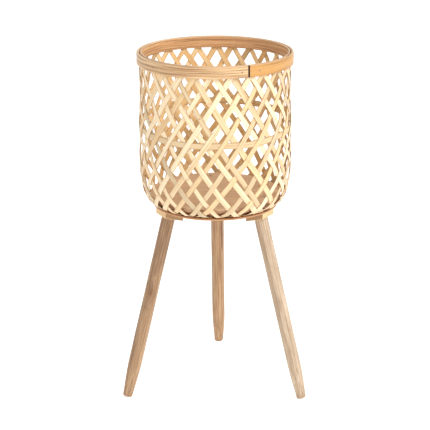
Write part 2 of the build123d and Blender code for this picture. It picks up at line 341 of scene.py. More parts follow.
class Finish(Graph):
    """A node-based surface finish. Its grain is the piece's own attribute, or Object coordinates
    turned to the run of the wood."""

    def __init__(self, name, roughness, turned=None):
        self.material = bpy.data.materials.new(name)
        self.material.use_nodes = True
        super().__init__(self.material.node_tree)
        self.shader = self.tree.nodes["Principled BSDF"]
        self.shader.inputs["Roughness"].default_value = roughness
        if turned is None:
            grain = self.attribute("grain").outputs["Vector"]
        else:
            place = self.node("ShaderNodeTexCoord").outputs["Object"]
            mapping = self.node("ShaderNodeMapping", Vector=place)
            mapping.inputs["Rotation"].default_value = turned
            grain = mapping.outputs[0]
        self.side, self.depth, self.along = self.parts(grain)

    def attribute(self, name):
        """A stored attribute of the piece."""
        return self.node("ShaderNodeAttribute", {"attribute_name": name})

    def fibres(self, across, lengthwise, salt=0.0, detail=2.0):
        """Noise drawn out along the grain, with features per metre across it and along it."""
        depth = self.add(self.mul(self.depth, across), salt)
        where = self.vector(self.mul(self.side, across), depth, self.mul(self.along, lengthwise))
        return self.noise(where, 1.0, detail)

    def ramp(self, share, *stops):
        """Colour through (place, tone) stops: the lowest and the highest first, then those between."""
        made = self.node("ShaderNodeValToRGB", Fac=share)
        elements = made.color_ramp.elements
        for index, (place, colour) in enumerate(stops):
            element = elements[index] if index < 2 else elements.new(place)
            element.position = place
            element.color = colour
        return made.outputs[0]

    def blend(self, share, first, second, how="MIX"):
        """Mixes the second colour into the first by a share from 0 to 1."""
        made = self.node("ShaderNodeMix", {"data_type": "RGBA", "blend_type": how})
        for key, value in ((0, share), (6, first), (7, second)):
            self.put(made, key, value)
        return made.outputs[2]

    def colour(self, value):
        """Sets the colour of the surface."""
        self.put(self.shader, "Base Color", value)

    def relief(self, height, distance):
        """Fine relief from a pattern, distance metres deep."""
        bump = self.node("ShaderNodeBump", Height=height)
        bump.inputs["Distance"].default_value = distance
        self.put(self.shader, "Normal", bump.outputs[0])

    def gloss(self, share, low, high):
        """Roughness that follows a pattern."""
        self.put(self.shader, "Roughness", self.add(self.mul(share, high - low), low))


def splint_finish():
    """Scraped split bamboo: cream with straight fibres, each splint its own shade, yellower on the pith side,
    partly the bamboo's own colour and partly painted shade of the basket's inside, darker along the edges,
    partly the cut edges' own colour and partly painted shadow lines between the strips, and darker at its few
    joints."""
    f = Finish("splint_bamboo", 0.5)
    tint = f.attribute("tint").outputs["Fac"]
    fine = f.fibres(1500.0, 14.0, f.mul(tint, 90.0), 3.0)
    broad = f.fibres(420.0, 7.0, f.mul(tint, 37.0))
    share = f.add(f.mul(fine, 0.5), f.mul(broad, 0.5))
    body = f.ramp(
        share, (0.30, tone(192, 160, 118)), (0.68, tone(247, 235, 210)), (0.46, tone(233, 212, 179))
    )
    own = f.ramp(
        f.math("FRACT", f.mul(tint, 7.0)),
        (0.0, tone(255, 252, 246)),
        (1.0, tone(218, 211, 198)),
        (0.35, tone(250, 242, 229)),
        (0.7, tone(240, 224, 199)),
    )
    body = f.blend(1.0, body, own, "MULTIPLY")
    # Pith side: partly the bamboo's own yellower colour, partly painted shade of the basket's inside.
    pith_and_inside_shade = f.blend(1.0, body, tone(243, 229, 204), "MULTIPLY")
    body = f.blend(f.between(f.depth, 0.00005, -0.00025), body, pith_and_inside_shade)
    # Edges: partly the cut edges' own darker colour, partly painted shadow lines where the strips cross.
    edge = f.between(f.math("ABSOLUTE", f.side), 0.0034, 0.0043)
    body = f.blend(f.mul(edge, 0.7), body, tone(160, 118, 74))
    joints_per_metre = 4.2
    joint = f.math("FRACT", f.add(f.mul(f.along, joints_per_metre), f.mul(tint, 13.0)))
    joint = f.mul(f.between(joint, 0.0, 0.006), f.between(joint, 0.018, 0.012), f.between(broad, 0.4, 0.6))
    body = f.blend(f.mul(joint, 0.5), body, tone(168, 120, 70))
    f.colour(body)
    f.gloss(fine, 0.42, 0.62)
    f.relief(fine, 0.00012)
    return f.material


def splint_tree():
    """One family of woven splints, grown from the outline of the wall."""
    t = Tree(
        "woven_splints",
        {
            "First": "Int",
            "Count": "Int",
            "Hand": "Float",
            "Width": "Float",
            "Thickness": "Float",
            "Swing": "Float",
            "Seed": "Int",
            "Other Seed": "Int",
            "Material": "Material",
        },
    )
    outline = t.node("GeometryNodeResampleCurve", Curve=t["Geometry"], Count=SPLINT_STEPS)
    copies = t.node(
        "GeometryNodeDuplicateElements", {"domain": "SPLINE"}, Geometry=outline.outputs[0], Amount=t["Count"]
    )
    curves = t.store(copies.outputs[0], "number", t.add(copies.outputs[1], t["First"]), "FLOAT")
    number = t.named("number")
    curves = t.store(curves, "tint", t.chance(0.0, 1.0, number, t.add(t["Seed"], 9)), "FLOAT")

    radius, _, height = t.parts(t.node("GeometryNodeInputPosition").outputs[0])
    tangent_x, _, tangent_z = t.parts(t.node("GeometryNodeInputTangent").outputs[0])
    along = t.node("GeometryNodeSplineParameter")
    factor, length = along.outputs["Factor"], along.outputs["Length"]
    run = t.node("GeometryNodeSplineLength").outputs[0]

    # Azimuth swept on the way down, counted from the first row of crossings under the rim
    lean = t.add(t.mul(factor, BOTTOM_LEAN - TOP_LEAN), TOP_LEAN)
    step = t.math("DIVIDE", t.mul(t.math("TANGENT", lean), t.math("DIVIDE", run, SPLINT_STEPS - 1.0)), radius)
    sweep = t.node("GeometryNodeAccumulateField", {"data_type": "FLOAT"}, Group_ID=number)
    t.put(sweep, 0, step)
    above = t.mul(step, t.math("GREATER_THAN", height, CROSSING_HEIGHT))
    to_crossing = t.node("GeometryNodeAccumulateField", {"data_type": "FLOAT"}, Group_ID=number)
    t.put(to_crossing, 0, above)
    swept = t.sub(sweep.outputs["Leading"], to_crossing.outputs["Total"])

    # Hand work: how far each splint stands off its even place on the way down
    def stray(member, seed):
        place = t.chance(-PLACE_STRAY, PLACE_STRAY, member, t.add(seed, 1))
        slope = t.mul(t.chance(-SLOPE_STRAY, SLOPE_STRAY, member, t.add(seed, 2)), t.sub(factor, 0.45))
        bend = t.math("SINE", t.mul(factor, pi))
        bow = t.mul(t.chance(-BOW_STRAY, BOW_STRAY, member, t.add(seed, 3)), bend)
        return t.add(place, slope, bow)

    own = stray(number, t["Seed"])
    met = t.add(number, t.math("DIVIDE", t.add(t.mul(t["Hand"], swept, 2.0), own), SPLINT_PITCH))
    before = t.math("FLOOR", met)
    share = t.sub(met, before)
    first = stray(t.math("FLOORED_MODULO", before, float(SPLINTS_EACH_WAY)), t["Other Seed"])
    second = stray(t.math("FLOORED_MODULO", t.add(before, 1.0), float(SPLINTS_EACH_WAY)), t["Other Seed"])
    other = t.add(first, t.mul(share, t.sub(second, first)))
    azimuth = t.add(t.mul(number, SPLINT_PITCH), CROSSING_AZIMUTH, t.mul(t["Hand"], swept), own)

    # Over and under: out at one crossing and in at the next, and parted by the waist band where it
    # runs between the two families
    phase = t.add(swept, t.mul(t["Hand"], t.sub(own, other), 0.5))
    row = t.math("ROUND", t.mul(phase, 2 / SPLINT_PITCH))
    past_row = t.sub(phase, t.mul(row, SPLINT_PITCH / 2))
    row_height = t.add(height, t.mul(past_row, ROW_RUN))
    waist = t.add(t.mul(t.math("SINE", azimuth), WAIST_RISE), WAIST_HEIGHT)
    swing = t.mul(t.math("COSINE", t.mul(row, pi)), t["Hand"], t["Swing"])
    beside = t.mul(t["Hand"], t.add(t["Swing"], WAIST_THICKNESS / 2 + BAND_CLEARANCE), -1.0)
    at_waist = t.math("LESS_THAN", t.math("ABSOLUTE", t.sub(row_height, waist)), ROW_PITCH / 2)
    target = t.add(swing, t.mul(at_waist, t.sub(beside, swing)))
    wave = t.math("COSINE", t.mul(phase, 2 * pi / SPLINT_PITCH))
    lift = t.math("ABSOLUTE", t.math("TANH", t.mul(wave, BEND_SHARPNESS)))
    offset = t.mul(target, lift)
    from_band = t.math("ABSOLUTE", t.sub(height, waist))
    near = t.between(from_band, BAND_HALF_ROOM + BAND_EASING, BAND_HALF_ROOM)
    offset = t.add(offset, t.mul(near, t.sub(beside, offset)))
    inset = t.sub(offset, WEAVE_DEPTH)

    out_x, out_z = t.mul(tangent_z, -1.0), tangent_x
    ring = t.add(radius, t.mul(out_x, inset))
    cosine, sine = t.math("COSINE", azimuth), t.math("SINE", azimuth)
    place = t.vector(t.mul(ring, cosine), t.mul(ring, sine), t.add(height, t.mul(out_z, inset)))
    facing = t.vector(t.mul(out_x, cosine), t.mul(out_x, sine), out_z)
    uneven = t.noise(t.vector(t.mul(length, 22.0), t.mul(number, 7.7), t.mul(t["Hand"], 5.0)), 1.0, 1.0)
    girth = t.chance(NARROWEST, WIDEST, number, t.add(t["Seed"], 4))
    girth = t.add(girth, t.mul(t.sub(uneven, 0.5), 0.22))
    curves = t.store(curves, "facing", facing)
    curves = t.store(curves, "along", length, "FLOAT")
    curves = t.store(curves, "girth", girth, "FLOAT")
    curves = t.node("GeometryNodeSetPosition", Geometry=curves, Position=place).outputs[0]
    facing = t.named("facing", "FLOAT_VECTOR")
    t.finish(t.strip(curves, facing, t["Width"], t["Thickness"], CORNER_ROUNDING, t.named("girth")))
    return t


outline = bpy.data.curves.new("wall_outline", "CURVE")
outline.dimensions = "3D"
spline = outline.splines.new("BEZIER")
spline.bezier_points.add(len(WALL_OUTLINE) - 1)
for point, (radius, height) in zip(spline.bezier_points, WALL_OUTLINE):
    point.co = (radius * MM, 0, height * MM)
    point.handle_left_type = point.handle_right_type = "AUTO"
spline.resolution_u = 16

splint_bamboo = splint_finish()
woven = splint_tree()
for family, opposite, hand in (("right", "left", 1.0), ("left", "right", -1.0)):
    for first in range(0, SPLINTS_EACH_WAY, SPLINTS_PER_NODE):
        node = f"{family}_splints_{first // SPLINTS_PER_NODE + 1:02d}"
        values = {
            "First": first,
            "Count": SPLINTS_PER_NODE,
            "Hand": hand,
            "Width": SPLINT_WIDTH,
            "Thickness": SPLINT_THICKNESS,
            "Swing": WEAVE_SWING,
            "Seed": FAMILY_SEED[family],
            "Other Seed": FAMILY_SEED[opposite],
            "Material": splint_bamboo,
        }
        strips = grow(node + "_woven", outline, woven, values)
        settle(strips, "bamboo_splint", "basket", node)

# ---------------------------------------------------------------------------------------------------
# Waist band. One thin bamboo strip threaded round the basket between the two families of splints, a
# little higher at the back, with its ends butted behind.
# ---------------------------------------------------------------------------------------------------
WAIST_WIDTH = 10.0 * MM
WAIST_RADIUS = 123.3 * MM
WAIST_JOINT = radians(100.0)
WAIST_GAP = 1.0 * MM
WAIST_UNEVENNESS = 3.5 * MM
HOOP_STEPS = 400


def hoop_tree():
    """A strip bent round the basket, with its ends butted at the joint."""
    t = Tree(
        "bent_hoop",
        {
            "Radius": "Float",
            "Height": "Float",
            "Rise": "Float",
            "Joint": "Float",
            "Gap": "Float",
            "Width": "Float",
            "Thickness": "Float",
            "Rounding": "Float",
            "Unevenness": "Float",
            "Seed": "Float",
            "Material": "Material",
        },
    )
    line = t.node("GeometryNodeCurvePrimitiveLine")
    line = t.node("GeometryNodeResampleCurve", Curve=line.outputs[0], Count=HOOP_STEPS).outputs[0]
    factor = t.node("GeometryNodeSplineParameter").outputs["Factor"]
    gap = t.math("DIVIDE", t["Gap"], t["Radius"])
    turned = t.mul(factor, t.sub(2 * pi, gap))
    azimuth = t.add(t["Joint"], t.mul(gap, 0.5), turned)
    cosine, sine = t.math("COSINE", azimuth), t.math("SINE", azimuth)
    sway = t.sub(t.noise(t.vector(cosine, sine, t["Seed"]), 3.0, 2.0), 0.5)
    swell = t.sub(t.noise(t.vector(sine, cosine, t["Seed"]), 4.0, 1.0), 0.5)
    ring = t.add(t["Radius"], t.mul(swell, t["Unevenness"], 0.25))
    height = t.add(t["Height"], t.mul(sine, t["Rise"]), t.mul(sway, t["Unevenness"]))
    place = t.vector(t.mul(ring, cosine), t.mul(ring, sine), height)
    curves = t.store(line, "facing", t.vector(cosine, sine, 0.0))
    curves = t.store(curves, "along", t.mul(turned, t["Radius"]), "FLOAT")
    curves = t.store(curves, "tint", t.math("FRACT", t["Seed"]), "FLOAT")
    curves = t.node("GeometryNodeSetPosition", Geometry=curves, Position=place).outputs[0]
    facing = t.named("facing", "FLOAT_VECTOR")
    t.finish(t.strip(curves, facing, t["Width"], t["Thickness"], t["Rounding"]))
    return t


bent_hoop = hoop_tree()
values = {
    "Radius": WAIST_RADIUS,
    "Height": WAIST_HEIGHT,
    "Rise": WAIST_RISE,
    "Joint": WAIST_JOINT,
    "Gap": WAIST_GAP,
    "Width": WAIST_WIDTH,
    "Thickness": WAIST_THICKNESS,
    "Rounding": CORNER_ROUNDING,
    "Unevenness": WAIST_UNEVENNESS,
    "Seed": 3.41,
    "Material": splint_bamboo,
}
waist_strip = grow("waist_band_strip", bpy.data.meshes.new("waist_base"), bent_hoop, values)
settle(waist_strip, "bamboo_splint", "basket", "waist_band")

# ---------------------------------------------------------------------------------------------------
# Rim. Two bamboo hoops bent cold and butted, one outside and one inside the splint ends, with rounded edges.
# Their grain runs round the basket, with brown streaks, and the cut ends are dark, partly scorched and partly
# painted shadow of the slit between them.
# ---------------------------------------------------------------------------------------------------
rim_low, rim_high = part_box("rim_outer_hoop")
RIM_MIDDLE = (rim_low[2] + rim_high[2]) / 2
RIM_HEIGHT = rim_high[2] - rim_low[2]
OUTER_RIM_RADIUS = 126.5 * MM
OUTER_RIM_THICKNESS = 3.8 * MM
INNER_RIM_BORE = 117.7 * MM
INNER_RIM_THICKNESS = 3.2 * MM
RIM_GAP = 1.8 * MM
RIM_ROUNDING = 1.1 * MM
RIM_UNEVENNESS = 0.3 * MM
OUTER_RIM_JOINT = radians(-65.5)
INNER_RIM_JOINT = radians(-112.0)


def rim_finish(name, pale, mid, streak, warm, warm_reach):
    """Thick bamboo strip: long wavy streaks, and a smoother and more orange run that starts at the joint and
    fades over warm_reach. Its dark ends, partly scorched and partly painted shadow of the slit, are added
    apart from this."""
    f = Finish(name, 0.45)
    sway = f.noise(f.vector(f.mul(f.along, 16.0), f.mul(f.side, 60.0), 4.0), 1.0, 1.0)
    f.side = f.add(f.side, f.mul(f.sub(sway, 0.5), 0.006))
    fine = f.fibres(1300.0, 9.0, 3.0, 3.0)
    broad = f.fibres(300.0, 7.0, 9.0, 2.0)
    dark = f.fibres(560.0, 8.0, 21.0, 3.0)
    body = f.ramp(f.add(f.mul(fine, 0.5), f.mul(broad, 0.5)), (0.36, mid), (0.62, pale))
    glow = f.between(f.add(f.along, f.mul(f.sub(broad, 0.5), 0.05)), warm_reach, warm_reach * 0.55)
    body = f.blend(f.mul(glow, 0.8), body, warm)
    lines = f.mul(f.between(dark, 0.50, 0.64), f.add(f.mul(glow, -0.45), 1.0))
    body = f.blend(f.mul(lines, 0.75), body, streak)
    pores = f.between(f.fibres(2600.0, 60.0, 5.0, 1.0), 0.62, 0.74)
    body = f.blend(f.mul(pores, 0.35), body, streak)
    upward = f.between(f.parts(f.node("ShaderNodeNewGeometry").outputs["Normal"])[2], 0.55, 0.9)
    body = f.blend(f.mul(upward, 0.45), body, tone(222, 200, 172))
    f.colour(body)
    f.gloss(fine, 0.34, 0.56)
    f.relief(f.sub(fine, f.mul(lines, 0.8)), 0.0002)
    return f.material


def scorch_and_shade_ends(material, arc):
    """Darkens the first and last millimetre of a hoop whose strip is arc long: partly a scorched cut, partly
    painted shadow of the slit between the ends.
    """
    f = Graph(material.node_tree)
    shader = material.node_tree.nodes["Principled BSDF"]
    grain = f.node("ShaderNodeAttribute", {"attribute_name": "grain"}).outputs["Vector"]
    along = f.parts(grain)[2]
    from_end = f.math("MINIMUM", along, f.sub(arc, along))
    # Dark ends: partly scorched cut, partly painted shadow in the slit of the hoop joint.
    burnt_and_shaded = f.node("ShaderNodeMix", {"data_type": "RGBA"})
    f.put(burnt_and_shaded, 0, f.between(from_end, 1.1 * MM, 0.3 * MM))
    f.put(burnt_and_shaded, 6, shader.inputs["Base Color"].links[0].from_socket)
    burnt_and_shaded.inputs[7].default_value = tone(70, 32, 12)
    f.put(shader, "Base Color", burnt_and_shaded.outputs[2])


outer_bamboo = rim_finish(
    "rim_outer_bamboo", tone(228, 196, 152), tone(180, 136, 90), tone(108, 70, 42), tone(192, 137, 62), 0.17
)
inner_bamboo = rim_finish(
    "rim_inner_bamboo", tone(220, 176, 126), tone(174, 122, 76), tone(132, 84, 48), tone(208, 148, 88), 0.10
)
outer_middle = OUTER_RIM_RADIUS - OUTER_RIM_THICKNESS / 2
inner_middle = INNER_RIM_BORE + INNER_RIM_THICKNESS / 2
hoops = (
    ("rim_outer_hoop", outer_middle, OUTER_RIM_THICKNESS, OUTER_RIM_JOINT, RIM_GAP, outer_bamboo),
    ("rim_inner_hoop", inner_middle, INNER_RIM_THICKNESS, INNER_RIM_JOINT, RIM_GAP / 2, inner_bamboo),
)
for node, radius, thickness, joint, gap, bamboo in hoops:
    scorch_and_shade_ends(bamboo, 2 * pi * radius - gap)
    values = {
        "Radius": radius,
        "Height": RIM_MIDDLE,
        "Rise": 0.0,
        "Joint": joint,
        "Gap": gap,
        "Width": RIM_HEIGHT,
        "Thickness": thickness,
        "Rounding": RIM_ROUNDING,
        "Unevenness": RIM_UNEVENNESS,
        "Seed": radius * 100,
        "Material": bamboo,
    }
    strip = grow(node + "_bent", bpy.data.meshes.new(node + "_base"), bent_hoop, values)
    settle(strip, "bamboo_hoop", "basket", node)

# ---------------------------------------------------------------------------------------------------
# Rim brads. Small domed steel nails driven through both hoops from outside, between the splints.
# ---------------------------------------------------------------------------------------------------
BRAD_GAPS = (1, 2, 6, 10, 14, 18, 22)
BRAD_RADIUS = 0.6 * MM
BRAD_HEAD_RADIUS = 1.3 * MM
BRAD_DOME = 0.4 * MM
BRAD_LENGTH = 8.0 * MM


def turned(name, profile, around, place=None, surface=None):
    """Mesh of a turned piece from its profile of (radius, along) points, which starts at the lower
    end of its axis. surface(radius, along, angle) may alter a radius, and place puts it on the model."""
    shape = bmesh.new()
    grain = shape.verts.layers.float_vector.new("grain")
    rings = []
    for radius, along in profile:
        ring = []
        for step in range(around):
            angle = 2 * pi * step / around
            reach = surface(radius, along, angle) if surface else radius
            vertex = shape.verts.new((reach * cos(angle), reach * sin(angle), along))
            vertex[grain] = vertex.co
            ring.append(vertex)
        rings.append(ring)
    for low, high in zip(rings, rings[1:]):
        for step in range(around):
            after = (step + 1) % around
            shape.faces.new((low[step], low[after], high[after], high[step]))
    shape.faces.new(reversed(rings[0]))
    shape.faces.new(rings[-1])
    mesh = bpy.data.meshes.new(name)
    shape.to_mesh(mesh)
    shape.free()
    if place is not None:
        mesh.transform(place)
    mesh.shade_smooth()
    mesh.set_sharp_from_angle(angle=radians(35))
    return mesh


def fastener_tree():
    """Like fasteners set on the points of a mesh, each along its point's facing and turned at random."""
    t = Tree("set_fasteners", {"Fastener": "Object", "Seed": "Int", "Material": "Material"})
    like = t.node("GeometryNodeObjectInfo", Object=t["Fastener"])
    facing = t.named("facing", "FLOAT_VECTOR")
    aligned = t.node("FunctionNodeAlignRotationToVector", {"axis": "Z"}, Vector=facing)
    place = t.node("GeometryNodeInputIndex").outputs[0]
    spin = t.node("FunctionNodeAxisAngleToRotation", Angle=t.chance(0.0, 6.28, place, t["Seed"]))
    spin.inputs["Axis"].default_value = (0, 0, 1)
    both = t.node("FunctionNodeRotateRotation", {"rotation_space": "LOCAL"}, Rotation=aligned.outputs[0])
    t.put(both, 1, spin.outputs[0])
    placed = t.node("GeometryNodeInstanceOnPoints", Points=t["Geometry"], Instance=like.outputs["Geometry"])
    t.put(placed, "Rotation", both.outputs[0])
    t.finish(placed.outputs[0])
    return t


def set_fasteners(name, like, places, facings, seed, material):
    """Puts a copy of the like mesh at each place, pointing along its facing."""
    points = bpy.data.meshes.new(name + "_places")
    points.from_pydata([tuple(place) for place in places], [], [])
    layer = points.attributes.new("facing", "FLOAT_VECTOR", "POINT")
    for item, facing in zip(layer.data, facings):
        item.vector = facing
    like.materials.append(material)
    pattern = bpy.data.objects.new(name + "_pattern", like)
    scene.collection.objects.link(pattern)
    made = grow(name, points, fastening, {"Fastener": pattern, "Seed": seed, "Material": material})
    bpy.data.objects.remove(pattern)
    return made


def metal_finish(name, bright, dull, roughness):
    """Plated steel: a faintly cloudy grey with fine scratches and dull spots."""
    f = Finish(name, roughness, (0.0, 0.0, 0.0))
    f.shader.inputs["Metallic"].default_value = 1.0
    where = f.vector(f.side, f.depth, f.along)
    cloud = f.noise(where, 900.0, 3.0)
    f.colour(f.ramp(cloud, (0.35, dull), (0.65, bright)))
    f.gloss(cloud, roughness - 0.08, roughness + 0.14)
    f.relief(f.noise(where, 3000.0, 2.0), 0.00003)
    return f.material


brad_steel = metal_finish("brad_steel", tone(176, 160, 138), tone(112, 92, 70), 0.42)
fastening = fastener_tree()
brad_profile = [
    (BRAD_RADIUS * 0.2, -BRAD_LENGTH),
    (BRAD_RADIUS, -BRAD_LENGTH + 1.2 * MM),
    (BRAD_RADIUS, 0.0),
    (BRAD_HEAD_RADIUS, 0.0),
    (BRAD_HEAD_RADIUS, 0.12 * MM),
    (BRAD_HEAD_RADIUS * 0.86, 0.27 * MM),
    (BRAD_HEAD_RADIUS * 0.55, 0.37 * MM),
    (BRAD_HEAD_RADIUS * 0.2, BRAD_DOME),
]
brad_facings = [
    Vector((cos(CROSSING_AZIMUTH + gap * SPLINT_PITCH), sin(CROSSING_AZIMUTH + gap * SPLINT_PITCH), 0))
    for gap in BRAD_GAPS
]
brad_places = [
    facing * (OUTER_RIM_RADIUS + 0.03 * MM) + Vector((0, 0, RIM_MIDDLE)) for facing in brad_facings
]
brad = turned("brad", brad_profile, 16)
brads = set_fasteners("rim_brads_set", brad, brad_places, brad_facings, 5, brad_steel)
settle(brads, "zinc_steel", "basket", "rim_brads")

# ---------------------------------------------------------------------------------------------------
# Base. A thick board under the pot and a thinner plate below it, both sawn discs of light wood, with
# the splint ends pinched between them and their edges rounded by sanding.
# ---------------------------------------------------------------------------------------------------


def board_finish(name, light, deep, edge, shade_and_stain_start, shade_and_stain_full):
    """Sanded light board: straight grain from side to side, small dark pores, a browner sawn edge, and a
    brown band where the splints are pinched, partly glue stain and partly painted shade of the gap between
    board and plate, which grows between two heights."""
    f = Finish(name, 0.62, (0.0, radians(90), 0.0))
    rings = f.fibres(150.0, 9.0, 2.0, 3.0)
    fine = f.fibres(900.0, 26.0, 7.0, 3.0)
    body = f.ramp(f.add(f.mul(rings, 0.6), f.mul(fine, 0.4)), (0.34, deep), (0.66, light))
    pores = f.between(f.fibres(1900.0, 140.0, 11.0, 1.0), 0.64, 0.76)
    body = f.blend(f.mul(pores, 0.4), body, edge)
    normal = f.parts(f.node("ShaderNodeNewGeometry").outputs["Normal"])[2]
    sawn = f.between(f.math("ABSOLUTE", normal), 0.7, 0.2)
    body = f.blend(f.mul(sawn, 0.45), body, edge)
    # Brown band at the pinch: partly glue stain, partly painted shade in the gap between board and plate.
    body = f.blend(f.mul(f.between(f.side, shade_and_stain_start, shade_and_stain_full), 0.85), body, tone(150, 90, 50))
    f.colour(body)
    f.gloss(fine, 0.52, 0.72)
    f.relief(fine, 0.00012)
    return f.material


def refinish(node, material):
    """Gives a CAD node that stays its finish."""
    frame["nodes"][node].data.materials.clear()
    frame["nodes"][node].data.materials.append(material)


board_wood = board_finish(
    "board_wood", tone(226, 193, 156), tone(204, 167, 128), tone(160, 116, 76), 331.0 * MM, 326.5 * MM
)
plate_wood = board_finish(
    "plate_wood", tone(212, 170, 122), tone(184, 136, 90), tone(172, 124, 80), 316.6 * MM, 318.0 * MM
)
refinish("base_board", board_wood)
refinish("bottom_plate", plate_wood)

# ---------------------------------------------------------------------------------------------------
# Block screws. Six countersunk steel screws with a cross recess, driven down through the board and the
# plate into the leg blocks, two to a block.
# ---------------------------------------------------------------------------------------------------
BOARD_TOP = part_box("base_board")[1][2]
SCREW_SINK = 0.15 * MM
SCREW_HEAD_RADIUS = 3.6 * MM
SCREW_RADIUS = 2.0 * MM
SCREW_LENGTH = 28.8 * MM
SCREW_ACROSS = 12.0 * MM
LEG_LENGTH = 311.0 * MM
LEG_TILT = radians(15.0)
FOOT_SPREAD = 167.6 * MM
SEAT_RADIUS = FOOT_SPREAD - LEG_LENGTH * sin(LEG_TILT)
LEG_AZIMUTHS = {"rear": radians(88.1), "left": radians(208.1), "right": radians(328.1)}


def screw_mesh():
    """One screw standing on its point, its head's face at the origin."""
    shape = bmesh.new()
    around = 24

    def ring(radius, depth):
        steps = [2 * pi * step / around for step in range(around)]
        return [shape.verts.new((radius * cos(a), radius * sin(a), depth)) for a in steps]

    def cross(reach, half, depth):
        arm = ((half, reach), (-half, reach), (-half, half), (-reach, half), (-reach, -half), (-half, -half),
               (-half, -reach), (half, -reach), (half, -half), (reach, -half), (reach, half), (half, half))
        return [shape.verts.new((x, y, depth)) for x, y in arm]

    def wall(upper, lower):
        count = len(upper)
        for step in range(count):
            after = (step + 1) % count
            shape.faces.new((upper[step], lower[step], lower[after], upper[after]))

    rings = [ring(SCREW_HEAD_RADIUS - 0.15 * MM, 0), ring(SCREW_HEAD_RADIUS, -0.2 * MM),
             ring(SCREW_RADIUS, -1.8 * MM), ring(SCREW_RADIUS * 0.86, -2.4 * MM),
             ring(SCREW_RADIUS * 0.86, -SCREW_LENGTH + 4 * MM), ring(0.2 * MM, -SCREW_LENGTH)]
    for upper, lower in zip(rings, rings[1:]):
        wall(upper, lower)
    shape.faces.new(reversed(rings[-1]))
    mouth, bottom = cross(2.0 * MM, 0.5 * MM, 0), cross(1.2 * MM, 0.32 * MM, -1.3 * MM)
    wall(mouth, bottom)
    shape.faces.new(bottom)
    edges = [shape.edges.get((loop[i], loop[(i + 1) % len(loop)])) for loop in (rings[0], mouth)
             for i in range(len(loop))]
    bmesh.ops.triangle_fill(shape, edges=edges, use_beauty=True, normal=(0, 0, 1))
    bmesh.ops.recalc_face_normals(shape, faces=shape.faces)
    mesh = bpy.data.meshes.new("screw")
    shape.to_mesh(mesh)
    shape.free()
    return mesh


screw_steel = metal_finish("screw_steel", tone(206, 202, 192), tone(160, 154, 142), 0.3)
screw_places = [
    Matrix.Rotation(azimuth, 3, "Z") @ Vector((SEAT_RADIUS, side * SCREW_ACROSS, BOARD_TOP - SCREW_SINK))
    for azimuth in LEG_AZIMUTHS.values()
    for side in (-1, 1)
]
screws = set_fasteners("block_screws_set", screw_mesh(), screw_places, [(0, 0, 1)] * 6, 8, screw_steel)
settle(screws, "zinc_steel", "basket", "block_screws")

# ---------------------------------------------------------------------------------------------------
# Leg blocks and inserts. Sawn wedges of light wood, screwed under the plate with their grain across
# the leg, each with a flanged steel insert let into the face that the leg stands against.
# ---------------------------------------------------------------------------------------------------
insert_steel = metal_finish("insert_steel", tone(212, 204, 180), tone(166, 152, 120), 0.34)


def block_finish(name, azimuth):
    """Sawn pine: straight grain along the block's width, soft rings, light saw marks and darker end
    grain on the two sides."""
    across_leg = Matrix.Rotation(pi / 2, 3, "X") @ Matrix.Rotation(-azimuth, 3, "Z")
    f = Finish(name, 0.64, across_leg.to_euler())
    rings = f.fibres(330.0, 12.0, 4.0, 3.0)
    fine = f.fibres(1200.0, 40.0, 6.0, 2.0)
    body = f.ramp(
        f.add(f.mul(rings, 0.65), f.mul(fine, 0.35)), (0.36, tone(196, 156, 108)), (0.64, tone(230, 198, 150))
    )
    saw = f.between(f.fibres(90.0, 1400.0, 1.0, 1.0), 0.6, 0.75)
    body = f.blend(f.mul(saw, 0.22), body, tone(172, 128, 82))
    x, y, _ = f.parts(f.node("ShaderNodeNewGeometry").outputs["Normal"])
    end = f.math("ABSOLUTE", f.sub(f.mul(y, cos(azimuth)), f.mul(x, sin(azimuth))))
    body = f.blend(f.mul(f.between(end, 0.7, 0.9), 0.8), body, tone(144, 108, 74))
    f.colour(body)
    f.gloss(fine, 0.55, 0.75)
    f.relief(fine, 0.00015)
    return f.material


for side, azimuth in LEG_AZIMUTHS.items():
    refinish(f"leg_block_{side}", block_finish(f"block_wood_{side}", azimuth))
    refinish(f"threaded_insert_{side}", insert_steel)

# ---------------------------------------------------------------------------------------------------
# Hanger bolts. M8 steel: a coarse wood thread glued into the top of the leg, and a fine machine thread
# of 1.25 mm pitch that stands up out of it and screws into the insert.
# ---------------------------------------------------------------------------------------------------
BOLT_RADIUS = 4.0 * MM
BOLT_ABOVE = 22.0 * MM
BOLT_BELOW = 35.0 * MM
BOLT_POINT = 1.0 * MM
THREAD_PITCH = 1.25 * MM
THREAD_DEPTH = 0.62 * MM
NECK = 1.2 * MM
FOOT_RADIUS = 7.5 * MM
FOOT_ROUND = 2.0 * MM
FOOT_LIFT = (FOOT_RADIUS - FOOT_ROUND) * sin(LEG_TILT) + FOOT_ROUND * (1 - cos(LEG_TILT))


def leg_place(azimuth):
    """Puts a piece whose axis is Z, with its foot end at the origin, where a leg stands."""
    spread = Matrix.Translation((FOOT_SPREAD * cos(azimuth), FOOT_SPREAD * sin(azimuth), FOOT_LIFT))
    return spread @ Matrix.Rotation(azimuth, 4, "Z") @ Matrix.Rotation(-LEG_TILT, 4, "Y")


def bolt_thread(radius, along, angle):
    """Cuts the machine thread into the upper shank and leaves the rest plain."""
    above = along - LEG_LENGTH
    if above < NECK or above > BOLT_ABOVE - BOLT_POINT:
        return radius
    turn = (above / THREAD_PITCH - angle / (2 * pi)) % 1.0
    return radius - THREAD_DEPTH * abs(2 * turn - 1)


